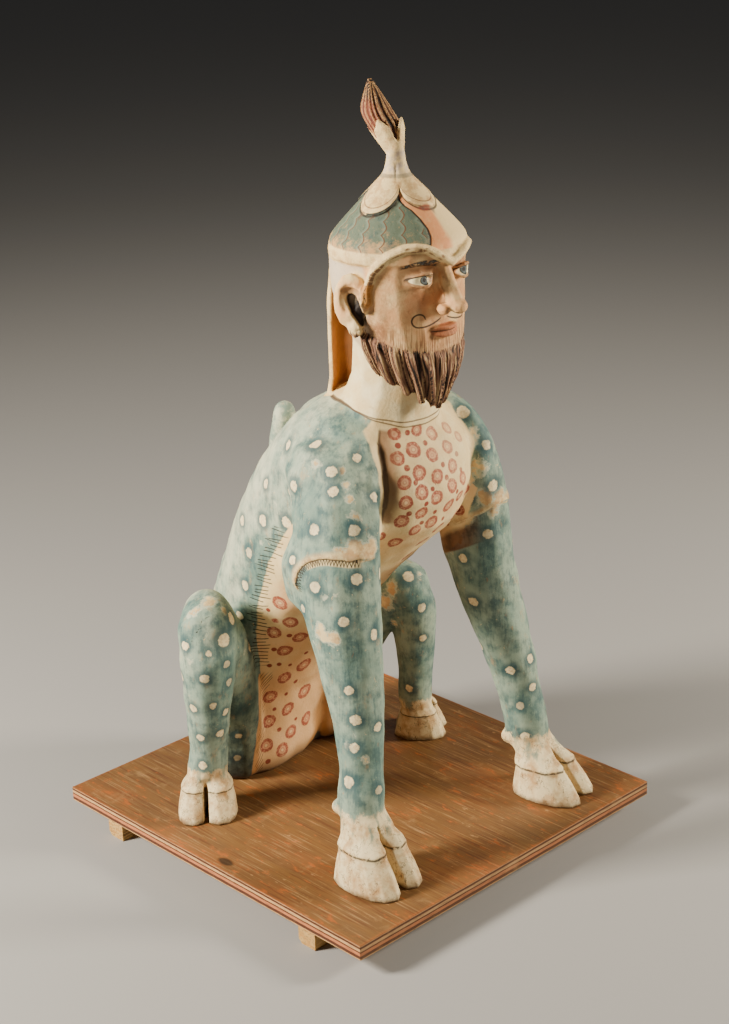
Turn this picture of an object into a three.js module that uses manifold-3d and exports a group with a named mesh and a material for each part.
// A painted clay tomb guardian beast: a seated, hoofed creature with a helmeted human head, on its plywood board.
// Millimetres, +Z up. The beast faces -Y, and its own right side is at -X. The origin is under the board's centre.

import * as THREE from 'three';
import { mergeVertices } from 'three/addons/utils/BufferGeometryUtils.js';
import Module from 'manifold-3d';

const wasm = await Module();
wasm.setup();

// Driving dimensions of the stand
const boardWidth = 487;
const boardLength = 514;
const boardThickness = 18;
const battenWidth = 27;
const battenHeight = 20;
const battenSetback = 72;
const battenChamfer = 5;
const seatGap = 0.3;

// The beast keeps its pose, proportions and carving as shares of its own height: its stations are
// drawn for drawnHeight, from the soles up, and are scaled to beastHeight.
const beastHeight = 860;
const drawnHeight = 860;
const share = beastHeight / drawnHeight;

const deckHeight = battenHeight + seatGap + boardThickness;

const clayColour = 0x8fb0aa;
const plyColour = 0x9a6b43;
const battenColour = 0xc39a55;

// Solids: a closed geometry in, a solid that can be joined and cut out

function toSolid(geometry) {
  const bare = geometry.clone();
  for (const name of Object.keys(bare.attributes)) {
    if (name !== 'position') bare.deleteAttribute(name);
  }
  const merged = mergeVertices(bare, 1e-4);
  const corners = merged.index.array;
  const kept = [];
  for (let i = 0; i < corners.length; i += 3) {
    const [a, b, c] = corners.slice(i, i + 3);
    if (a !== b && b !== c && c !== a) kept.push(a, b, c);
  }
  return new wasm.Manifold(new wasm.Mesh({
    numProp: 3,
    vertProperties: new Float32Array(merged.attributes.position.array),
    triVerts: new Uint32Array(kept),
  }));
}

function toGeometry(solid) {
  const mesh = solid.getMesh();
  const geometry = new THREE.BufferGeometry();
  geometry.setAttribute('position', new THREE.BufferAttribute(new Float32Array(mesh.vertProperties), 3));
  geometry.setIndex(new THREE.BufferAttribute(new Uint32Array(mesh.triVerts), 1));
  geometry.computeVertexNormals();
  return geometry;
}

function join(solids) {
  return solids.reduce((whole, solid) => whole.add(solid));
}

// Shapes

// A closed skin through rings of equal length, fanned shut at both ends.
function skin(rings) {
  const sides = rings[0].length;
  const points = rings.flat();
  const middle = (loop) => loop.reduce((sum, p) => sum.add(p), new THREE.Vector3()).divideScalar(sides);
  const firstIndex = points.length;
  const lastIndex = firstIndex + 1;
  points.push(middle(rings[0]), middle(rings[rings.length - 1]));
  const faces = [];
  for (let r = 0; r < rings.length - 1; r++) {
    for (let i = 0; i < sides; i++) {
      const [a, b] = [r * sides + i, r * sides + ((i + 1) % sides)];
      faces.push(a, b, b + sides, a, b + sides, a + sides);
    }
  }
  const top = (rings.length - 1) * sides;
  for (let i = 0; i < sides; i++) {
    const j = (i + 1) % sides;
    faces.push(firstIndex, j, i, lastIndex, top + i, top + j);
  }
  const geometry = new THREE.BufferGeometry().setFromPoints(points);
  geometry.setIndex(faces);
  return toSolid(geometry);
}

// A ring round a centre, spanned by two half-axes. A squareness above 1 fills out its corners, and
// dent(angle) draws its points in towards the centre.
function ring(centre, across, along, sides, squareness = 1, dent = () => 1) {
  const points = [];
  for (let i = 0; i < sides; i++) {
    const angle = (2 * Math.PI * i) / sides;
    const [c, s] = [Math.cos(angle), Math.sin(angle)];
    const u = Math.sign(c) * Math.abs(c) ** (1 / squareness) * dent(angle);
    const v = Math.sign(s) * Math.abs(s) ** (1 / squareness) * dent(angle);
    points.push(centre.clone().addScaledVector(across, u).addScaledVector(along, v));
  }
  return points;
}

// A rounded limb through stations [x, y, z, half-width, half-depth], with domed ends.
// Its sections stand square to its line, and their half-width keeps to the side vector.
function limb(stations, { sides = 10, steps = stations.length, side = [1, 0, 0], domes = [true, true] } = {}) {
  const line = new THREE.CatmullRomCurve3(stations.map(([x, y, z]) => new THREE.Vector3(x, y, z)));
  const sizes = stations.map((station) => [station[3], station[4] ?? station[3]]);
  const rings = [];
  const addRing = (t, shrink, push) => {
    const forward = line.getTangent(t);
    const across = new THREE.Vector3(...side);
    across.addScaledVector(forward, -across.dot(forward)).normalize();
    const along = new THREE.Vector3().crossVectors(forward, across);
    const place = Math.min(t * (sizes.length - 1), sizes.length - 1.0001);
    const [i, f] = [Math.floor(place), place - Math.floor(place)];
    const [wide, deep] = [0, 1].map((n) => THREE.MathUtils.lerp(sizes[i][n], sizes[i + 1][n], f));
    const centre = line.getPoint(t).addScaledVector(forward, push * Math.min(wide, deep));
    rings.push(ring(centre, across.multiplyScalar(wide * shrink), along.multiplyScalar(deep * shrink), sides));
  };
  const domeAngles = [72, 38].map(THREE.MathUtils.degToRad);
  if (domes[0]) domeAngles.forEach((angle) => addRing(0, Math.cos(angle), -Math.sin(angle)));
  for (let n = 0; n <= steps; n++) addRing(n / steps, 1, 0);
  if (domes[1]) domeAngles.reverse().forEach((angle) => addRing(1, Math.cos(angle), Math.sin(angle)));
  return skin(rings);
}

// An egg: a sphere stretched to three half-sizes, turned and placed.
function egg(place, halves, turn = [0, 0, 0], sides = 10) {
  const geometry = new THREE.SphereGeometry(1, sides, Math.ceil(sides * 0.6));
  const matrix = new THREE.Matrix4().compose(
    new THREE.Vector3(...place),
    new THREE.Quaternion().setFromEuler(new THREE.Euler(...turn)),
    new THREE.Vector3(...halves),
  );
  return toSolid(geometry.applyMatrix4(matrix));
}

// A solid of revolution about an upright axis, from its outline [height, radius].
function turned(profile, axisY, sides) {
  const points = profile.map(([z, radius]) => new THREE.Vector2(radius, z));
  points.unshift(new THREE.Vector2(0, profile[0][0]));
  points.push(new THREE.Vector2(0, profile[profile.length - 1][0]));
  return toSolid(new THREE.LatheGeometry(points, sides).rotateX(Math.PI / 2).translate(0, axisY, 0));
}

// The trunk sits upright on its rump and leans forward to the chest. Each section is given by its
// belly point and back point (y, z), its half-width, its sideways shift and its twist in degrees.
const trunkSections = [
  { belly: [112, -8], back: [204, -8], half: 84, shift: -8, twist: 18 },
  { belly: [101, 20], back: [224, 16], half: 94, shift: -8, twist: 15 },
  { belly: [97, 60], back: [232, 62], half: 97, shift: -7, twist: 11 },
  { belly: [84, 108], back: [230, 114], half: 97, shift: -6, twist: 7 },
  { belly: [54, 164], back: [216, 176], half: 94, shift: -4, twist: 3 },
  { belly: [8, 226], back: [192, 240], half: 93, shift: -2, twist: 0 },
  { belly: [-44, 282], back: [166, 302], half: 96, shift: 0, twist: 0 },
  { belly: [-98, 332], back: [138, 360], half: 101, shift: 0, twist: 0 },
  { belly: [-142, 374], back: [104, 412], half: 105, shift: 0, twist: 0 },
  { belly: [-158, 414], back: [66, 458], half: 106, shift: 0, twist: 0 },
  { belly: [-150, 450], back: [26, 494], half: 100, shift: 0, twist: 0 },
  { belly: [-134, 476], back: [-10, 516], half: 82, shift: 0, twist: 0 },
  { belly: [-118, 492], back: [-30, 526], half: 58, shift: 0, twist: 0 },
];

function trunk() {
  const sides = 20;
  const upright = new THREE.Vector3(0, 0, 1);
  return skin(trunkSections.map(({ belly, back, half, shift, twist }) => {
    const angle = THREE.MathUtils.degToRad(twist);
    const front = new THREE.Vector3(shift, ...belly);
    const rear = new THREE.Vector3(shift, ...back);
    const centre = front.clone().add(rear).divideScalar(2);
    const along = rear.sub(front).divideScalar(2).applyAxisAngle(upright, angle);
    const across = new THREE.Vector3(half, 0, 0).applyAxisAngle(upright, angle);
    return ring(centre, across, along, sides, 1.1);
  }));
}

// The limbs were modelled by hand, so each has its own line from the fetlock up.

const foreRight = [
  [-135, -151, 80, 25, 25],
  [-130, -147, 105, 25, 26],
  [-125, -142, 132, 24, 25],
  [-118, -134, 178, 28, 30],
  [-117, -126, 224, 33, 36],
  [-116, -118, 270, 38, 41],
  [-114, -108, 316, 42, 48],
  [-108, -99, 359, 43, 53],
  [-98, -88, 405, 44, 56],
  [-82, -76, 438, 38, 48],
];

const foreLeft = [
  [143, -155, 66, 25, 25],
  [141, -150, 92, 26, 27],
  [137, -144, 125, 25, 26],
  [132, -138, 164, 28, 30],
  [125, -131, 200, 31, 32],
  [114, -123, 244, 34, 36],
  [107, -113, 294, 37, 42],
  [105, -105, 336, 38, 47],
  [102, -96, 382, 38, 54],
  [92, -86, 422, 42, 60],
  [76, -72, 460, 42, 54],
];

const hindRight = [
  [-161, 88, 54, 24, 24],
  [-160, 84, 93, 22, 22],
  [-161, 78, 148, 28, 28],
  [-162, 72, 203, 33, 33],
  [-161, 71, 240, 34, 35],
  [-148, 86, 251, 29, 32],
];

const thighRight = [
  [-154, 78, 247, 31, 33],
  [-132, 94, 208, 37, 41],
  [-107, 115, 146, 40, 46],
  [-86, 134, 86, 40, 47],
  [-74, 146, 14, 34, 42],
];

const hindLeft = [
  [144, 40, 50, 22, 22],
  [142, 37, 88, 21, 21],
  [140, 34, 135, 25, 25],
  [136, 32, 178, 29, 29],
  [130, 33, 211, 32, 32],
  [118, 42, 223, 29, 30],
];

const thighLeft = [
  [122, 38, 218, 31, 32],
  [114, 70, 194, 35, 40],
  [98, 106, 148, 40, 48],
  [82, 136, 92, 42, 52],
  [68, 150, 18, 36, 44],
];

// The shoulders, and the right elbow, which juts out behind its leg.
const humps = [
  { place: [-82, -70, 432], halves: [50, 62, 58] },
  { place: [78, -62, 446], halves: [50, 66, 60] },
  { place: [-121, -80, 345], halves: [35, 44, 62] },
];

// The tail lies up the middle of the back, and its end stands free.
const tail = [
  [-6, 204, 40, 15],
  [-6, 226, 100, 16],
  [-5, 216, 180, 16],
  [-5, 184, 262, 16],
  [0, 150, 326, 16],
  [4, 128, 368, 15.5],
  [7, 118, 402, 15.5],
  [8, 114, 430, 15],
  [9, 111, 454, 13.5],
];

// The cloven hooves: a pastern that widens to a raised coronet, and a wall that flares to a flat sole.
// heading is the way that the toes point, in degrees round +Z from -Y towards +X.
const hooves = [
  { fetlock: [-135, -151, 82], sole: [-139, -178], heading: 4, length: 106, width: 82, coronet: 44, cleft: 11, dewclaws: true },
  { fetlock: [143, -155, 68], sole: [149, -188], heading: 14, length: 104, width: 78, coronet: 38, cleft: 10, dewclaws: true },
  { fetlock: [-161, 88, 62], sole: [-170, 82], heading: -43, length: 78, width: 72, coronet: 36, cleft: 6, dewclaws: false },
  { fetlock: [144, 40, 58], sole: [158, 44], heading: 42, length: 76, width: 68, coronet: 34, cleft: 6, dewclaws: false },
];

const cleftDepth = 0.34;
const dewclawSize = 9;

// Hoof slices: height as a share of the coronet's, half-length and half-width as shares of the
// sole's, and how far the slice has moved from the sole's centre to the fetlock's.
const hoofSlices = [
  [-0.15, 1, 1, 0],
  [0.06, 1, 1, 0],
  [0.5, 0.86, 0.95, 0.14],
  [0.9, 0.7, 0.87, 0.3],
  [1.04, 0.71, 0.88, 0.36],
  [1.28, 0.57, 0.7, 0.55],
];

function hoof({ fetlock, sole, heading, length, width, coronet, cleft, dewclaws }) {
  const turn = THREE.MathUtils.degToRad(heading);
  const ahead = new THREE.Vector3(Math.sin(turn), -Math.cos(turn), 0);
  const aside = new THREE.Vector3(Math.cos(turn), Math.sin(turn), 0);
  const ground = new THREE.Vector3(...sole, 0);
  const ankle = new THREE.Vector3(...fetlock);
  const cloven = (angle) => {
    const deep = Math.sin(angle) < 0 ? cleftDepth : cleftDepth / 3;
    return 1 - deep * Math.exp(-((Math.cos(angle) / 0.33) ** 2));
  };
  const rings = hoofSlices.map(([up, long, wide, back]) => {
    const centre = ground.clone().lerp(ankle, back).setZ(up * coronet);
    const across = aside.clone().multiplyScalar((width / 2) * wide);
    const along = ahead.clone().multiplyScalar((-length / 2) * long);
    return ring(centre, across, along, 16, 1.2, cloven);
  });
  const joint = 0.3 * width;
  rings.push(ring(ankle, aside.clone().multiplyScalar(joint), ahead.clone().multiplyScalar(-joint), 16));
  const wedge = new THREE.Shape([
    new THREE.Vector2(-cleft / 2, -coronet),
    new THREE.Vector2(cleft / 2, -coronet),
    new THREE.Vector2(cleft / 2, coronet),
    new THREE.Vector2(0, fetlock[2] * 0.94),
    new THREE.Vector2(-cleft / 2, coronet),
  ]);
  const plate = new THREE.ExtrudeGeometry(wedge, { depth: length, bevelEnabled: false });
  plate.rotateX(Math.PI / 2).rotateZ(turn).translate(...ground.clone().addScaledVector(ahead, -0.1 * length).toArray());
  const claws = (dewclaws ? [-1, 1] : []).map((hand) => {
    const place = ankle.clone().addScaledVector(aside, hand * 0.5 * joint).addScaledVector(ahead, -joint);
    return egg([place.x, place.y, fetlock[2] - 3], [dewclawSize, dewclawSize, dewclawSize * 1.2], [0, 0, 0], 6);
  });
  return join([skin(rings).subtract(toSolid(plate)), ...claws]);
}

// The head. Its axis is upright, and the helmet turns round it.
const headAxis = -98;

const neck = [
  [0, -74, 484, 64, 56],
  [0, -80, 508, 59, 51],
  [0, -86, 540, 50, 46],
  [0, -92, 590, 50, 48],
];

// Slices of the skull: height, half-width, front and back.
const skullSlices = [
  [552, 20, -150, -104],
  [560, 36, -162, -88],
  [574, 49, -166, -66],
  [594, 59, -166, -48],
  [618, 66, -164, -36],
  [642, 69, -163, -29],
  [664, 70, -163, -27],
  [684, 70, -167, -27],
  [700, 66, -162, -31],
];

function skull() {
  return skin(skullSlices.map(([z, half, front, back]) => {
    const centre = new THREE.Vector3(0, (front + back) / 2, z);
    return ring(centre, new THREE.Vector3(half, 0, 0), new THREE.Vector3(0, (back - front) / 2, 0), 16, 1.2);
  }));
}

// The face, on plain proportions: the eyes an eye's width apart, the nose and chin a third each.
const eyeLine = 664;
const eyeWidth = 30;
const noseBase = 627;
const mouthLine = 606;

function eye(hand) {
  const middle = hand * eyeWidth;
  const half = eyeWidth / 2;
  const lid = (rise, out) => limb([
    [middle - hand * half, -160, eyeLine, 2],
    [middle - hand * half * 0.5, -166 - out, eyeLine + rise * 0.8, 2.6],
    [middle, -167 - out, eyeLine + rise, 2.8],
    [middle + hand * half * 0.5, -161 - out, eyeLine + rise * 0.75, 2.6],
    [middle + hand * half, -150, eyeLine + 0.5, 2],
  ], { sides: 5, steps: 5, side: [0, 0, 1], domes: [false, false] });
  return join([egg([middle, -150, eyeLine], [15.5, 16, 11], [0, 0, hand * 0.35]), lid(7.5, 2), lid(-6.5, 0.5)]);
}

function ear(hand) {
  const tilt = [0.1, 0, hand * -0.5];
  const shell = egg([hand * 75, -100, 641], [8, 19, 32], tilt);
  const hollow = egg([hand * 83, -104, 645], [8, 11.5, 20], tilt, 8);
  const lobe = egg([hand * 73.5, -105, 613], [6.5, 9.5, 13], [0, 0, hand * -0.4], 6);
  const notch = egg([hand * 71.5, -116, 636], [6, 5, 8], [0, 0, 0], 6);
  return join([shell.subtract(hollow), lobe, notch]);
}

function nose() {
  const ridge = limb([
    [0, -162, 686, 9, 6],
    [0, -166, 668, 7.5, 8],
    [0, -174, 650, 8.5, 10],
    [0, -182, noseBase + 9, 10, 10],
  ], { sides: 8, steps: 4, domes: [false, false] });
  const tip = egg([0, -185, noseBase + 7], [10, 10.5, 9], [0, 0, 0], 8);
  const wings = [-1, 1].map((hand) => egg([hand * 11.5, -174, noseBase + 4], [7.5, 10, 7], [0, 0, hand * 0.3], 6));
  return join([ridge, tip, ...wings]);
}

function mouth() {
  const lip = (z, thick, droop) => limb([
    [-23, -156, z * 0.5 + mouthLine, 1.2, 2],
    [-11, -167, z + mouthLine, thick, 5],
    [0, -170, z + mouthLine - droop, thick, 5.5],
    [11, -167, z + mouthLine, thick, 5],
    [23, -156, z * 0.5 + mouthLine, 1.2, 2],
  ], { sides: 6, steps: 6, side: [0, 0, 1], domes: [false, false] });
  return join([lip(3.8, 2.8, 0.6), lip(-4.2, 3.6, 0)]);
}

// The beard follows the jaw from ear to ear and hangs to a point. Every second column stands proud
// and reaches lower, so its front is ridged with locks.
const beardLocks = 12;
const beardTip = 514;
const beardSpan = 186;
const lockRelief = 3.5;

function beard() {
  const columns = 2 * beardLocks + 1;
  const rings = Array.from({ length: columns }, (_, n) => {
    const angle = THREE.MathUtils.degToRad(beardSpan * (n / (columns - 1) - 0.5));
    const proud = n % 2;
    const front = Math.cos(angle);
    const back = 1 - front;
    const aside = Math.min(1, back);
    const out = new THREE.Vector3(Math.sin(angle), -front, 0);
    const top = new THREE.Vector3(64 * Math.sin(angle), -103 - 60 * front, 585 + 20 * back + 4 * back ** 2);
    const ragged = 8 * (1 - proud) + 3 * Math.sin(2.7 * n);
    const tip = new THREE.Vector3(top.x * (0.35 + 0.48 * aside), -110 - 44 * front, beardTip + 41 * aside + ragged);
    const level = ([t, depth]) => top.clone().lerp(tip, t).addScaledVector(out, depth);
    const face = [[0.12, 3], [0.4, 5], [0.7, 3]].map(([t, depth]) => level([t, depth + lockRelief * proud]));
    return [level([0, -5]), ...face, tip, level([0.7, -14]), level([0.05, -22])];
  });
  const chin = limb([
    [0, -138, 584, 34, 24],
    [0, -142, 560, 28, 20],
    [0, -146, 538, 16, 13],
    [0, -150, beardTip + 8, 5, 5],
  ], { sides: 10, steps: 3 });
  return join([skin(rings), chin]);
}

function head() {
  const sockets = [-1, 1].map((hand) => egg([hand * eyeWidth, -168, eyeLine + 1], [17, 7, 11], [0, 0, hand * 0.35], 8));
  const nostrils = [-1, 1].map((hand) => egg([hand * 6.5, -182, noseBase - 1], [3.2, 5, 3.4], [0, 0, 0], 6));
  const cut = skull().subtract(join(sockets));
  const pairs = [-1, 1].flatMap((hand) => [eye(hand), ear(hand)]);
  return join([cut, nose(), mouth(), beard(), ...pairs]).subtract(join(nostrils));
}

// The helmet: a pointed dome with a rim, a petal collar, a roll round the face and a nape guard.
const domeProfile = [
  [678, 70],
  [681, 75.5],
  [690, 76],
  [700, 72],
  [712, 62.5],
  [726, 49.5],
  [740, 36],
  [752, 24],
  [763, 15.5],
  [776, 10.8],
  [790, 9.2],
  [798, 10.5],
];

// How far the collar stands off the dome, and how it thins out towards the stem.
const collarLift = 2.6;
const collarTaper = [1, 1, 1, 1, 0.6, 0.1];

// Four petals lie on the dome below the stem, seen from above as one lobed outline.
function petalCollar() {
  const outline = new THREE.Shape();
  const points = 24;
  for (let n = 0; n < points; n++) {
    const angle = (2 * Math.PI * n) / points;
    const radius = 24 + 25 * Math.abs(Math.cos(2 * angle)) ** 0.6;
    outline[n === 0 ? 'moveTo' : 'lineTo'](radius * Math.cos(angle), radius * Math.sin(angle));
  }
  outline.closePath();
  const prism = new THREE.ExtrudeGeometry(outline, { depth: 56, bevelEnabled: false });
  const raised = domeProfile.slice(4, 10).map(([z, radius], n) => [z, radius + collarLift * collarTaper[n]]);
  return turned(raised, headAxis, 16).intersect(toSolid(prism.translate(0, headAxis, 714)));
}

// The roll that edges the face: an arch over each eye, meeting in a point over the nose, that comes
// down before the ear. The left arch is the lower one.
const rollPoint = 680;
const leftArch = 0.55;

function browRoll(hand) {
  const arch = (rise) => rollPoint + rise * (hand < 0 ? 1 : leftArch);
  return limb([
    [0, -176, rollPoint, 5.2],
    [hand * 14, -174.5, arch(8.5), 5.2],
    [hand * 29, -168.5, arch(18), 5.2],
    [hand * 46, -156, arch(18.5), 5.2],
    [hand * 60, -141.5, arch(10), 5],
    [hand * 68.5, -127, 673, 5],
    [hand * 70.5, -120, 655, 4.6],
    [hand * 70, -120, 641, 4],
  ], { sides: 5, steps: 11 });
}

// A sheet that hangs from the helmet's back edge, clear of the nape.
const guardThickness = 7;
const guardRows = [
  [692, -30, 36],
  [668, -23, 42],
  [624, -18, 44],
  [575, -15, 42],
  [535, -15, 42],
  [510, -10, 44],
];

function napeGuard() {
  const columns = 5;
  return skin(guardRows.map(([z, y, half]) => {
    const edge = (side) => Array.from({ length: columns }, (_, n) => {
      const t = (2 * n) / (columns - 1) - 1;
      return new THREE.Vector3(half * t, y - 14 * t * t + (side * guardThickness) / 2, z);
    });
    return [...edge(-1), ...edge(1).reverse()];
  }).reverse());
}

// The finial: a stem, a cup of petals and a ribbed bud that leans back.
const bud = [
  [0, -96, 786, 8.5],
  [0, -90, 799, 13],
  [0, -83, 812, 17.5],
  [-2, -74, 827, 17],
  [-1.5, -67.5, 844, 10],
  [0, -62, 860, 1.5],
];
const cupPetals = 4;
const budRibs = 7;
const budRibDepth = 0.12;

function finial() {
  const ribbed = (angle) => 1 - budRibDepth * (0.5 - 0.5 * Math.cos(budRibs * angle));
  const rings = bud.map(([x, y, z, radius]) => {
    const [across, along] = [new THREE.Vector3(radius, 0, 0), new THREE.Vector3(0, radius, 0)];
    return ring(new THREE.Vector3(x, y, z), across, along, 2 * budRibs, 1, ribbed);
  });
  const petals = Array.from({ length: cupPetals }, (_, n) => {
    const angle = (2 * Math.PI * (n + 0.3)) / cupPetals;
    const [c, s] = [Math.cos(angle), Math.sin(angle)];
    return limb([
      [4 * c, -96 + 4 * s, 784, 5, 4],
      [11 * c, -91 + 11 * s, 798, 11, 3.6],
      [17 * c, -85 + 17 * s, 811, 10.5, 2.8],
      [19 * c, -82 + 19 * s, 820, 3, 1.8],
    ], { sides: 5, steps: 3, side: [-s, c, 0], domes: [false, true] });
  });
  return join([skin(rings), ...petals]);
}

function helmet() {
  return join([turned(domeProfile, headAxis, 20), petalCollar(), browRoll(-1), browRoll(1), napeGuard(), finial()]);
}

function beast() {
  const limbs = [foreRight, foreLeft, hindRight, thighRight, hindLeft, thighLeft].map((line) => limb(line));
  const swells = humps.map(({ place, halves }) => egg(place, halves, [0.35, 0, 0], 8));
  const body = [trunk(), ...limbs, ...swells, limb(tail, { sides: 8, steps: 7 }), ...hooves.map(hoof)];
  const whole = join([...body, limb(neck, { sides: 12, steps: 3 }), head(), helmet()]);
  const reach = 2 * drawnHeight;
  const above = toSolid(new THREE.BoxGeometry(reach, reach, reach).translate(0, 0, reach / 2));
  return toGeometry(whole.intersect(above)).scale(share, share, share);
}

// A batten lies along X with its underside at z = 0. Its lower edge towards the back is planed off.
function battenBar() {
  const [back, front] = [battenWidth / 2, -battenWidth / 2];
  const section = new THREE.Shape([
    new THREE.Vector2(front, 0),
    new THREE.Vector2(back - battenChamfer, 0),
    new THREE.Vector2(back, battenChamfer),
    new THREE.Vector2(back, battenHeight),
    new THREE.Vector2(front, battenHeight),
  ]);
  const bar = new THREE.ExtrudeGeometry(section, { depth: boardWidth, bevelEnabled: false });
  return bar.rotateX(Math.PI / 2).rotateZ(Math.PI / 2);
}

function finished(name, geometry, colour, roughness, height) {
  const material = new THREE.MeshStandardMaterial({ color: colour, roughness, metalness: 0 });
  const mesh = new THREE.Mesh(geometry, material);
  mesh.name = name;
  mesh.position.z = height;
  return mesh;
}

const piece = new THREE.Group();

piece.add(finished('clay_beast', beast(), clayColour, 0.85, deckHeight + seatGap));

const board = new THREE.BoxGeometry(boardWidth, boardLength, boardThickness);
piece.add(finished('plywood_board', board, plyColour, 0.6, deckHeight - boardThickness / 2));

const battenOffset = boardLength / 2 - battenSetback - battenWidth / 2;
for (const [name, hand] of [['front_batten', -1], ['rear_batten', 1]]) {
  const batten = battenBar().translate(-boardWidth / 2, hand * battenOffset, 0);
  piece.add(finished(name, batten, battenColour, 0.8, 0));
}

export default piece;
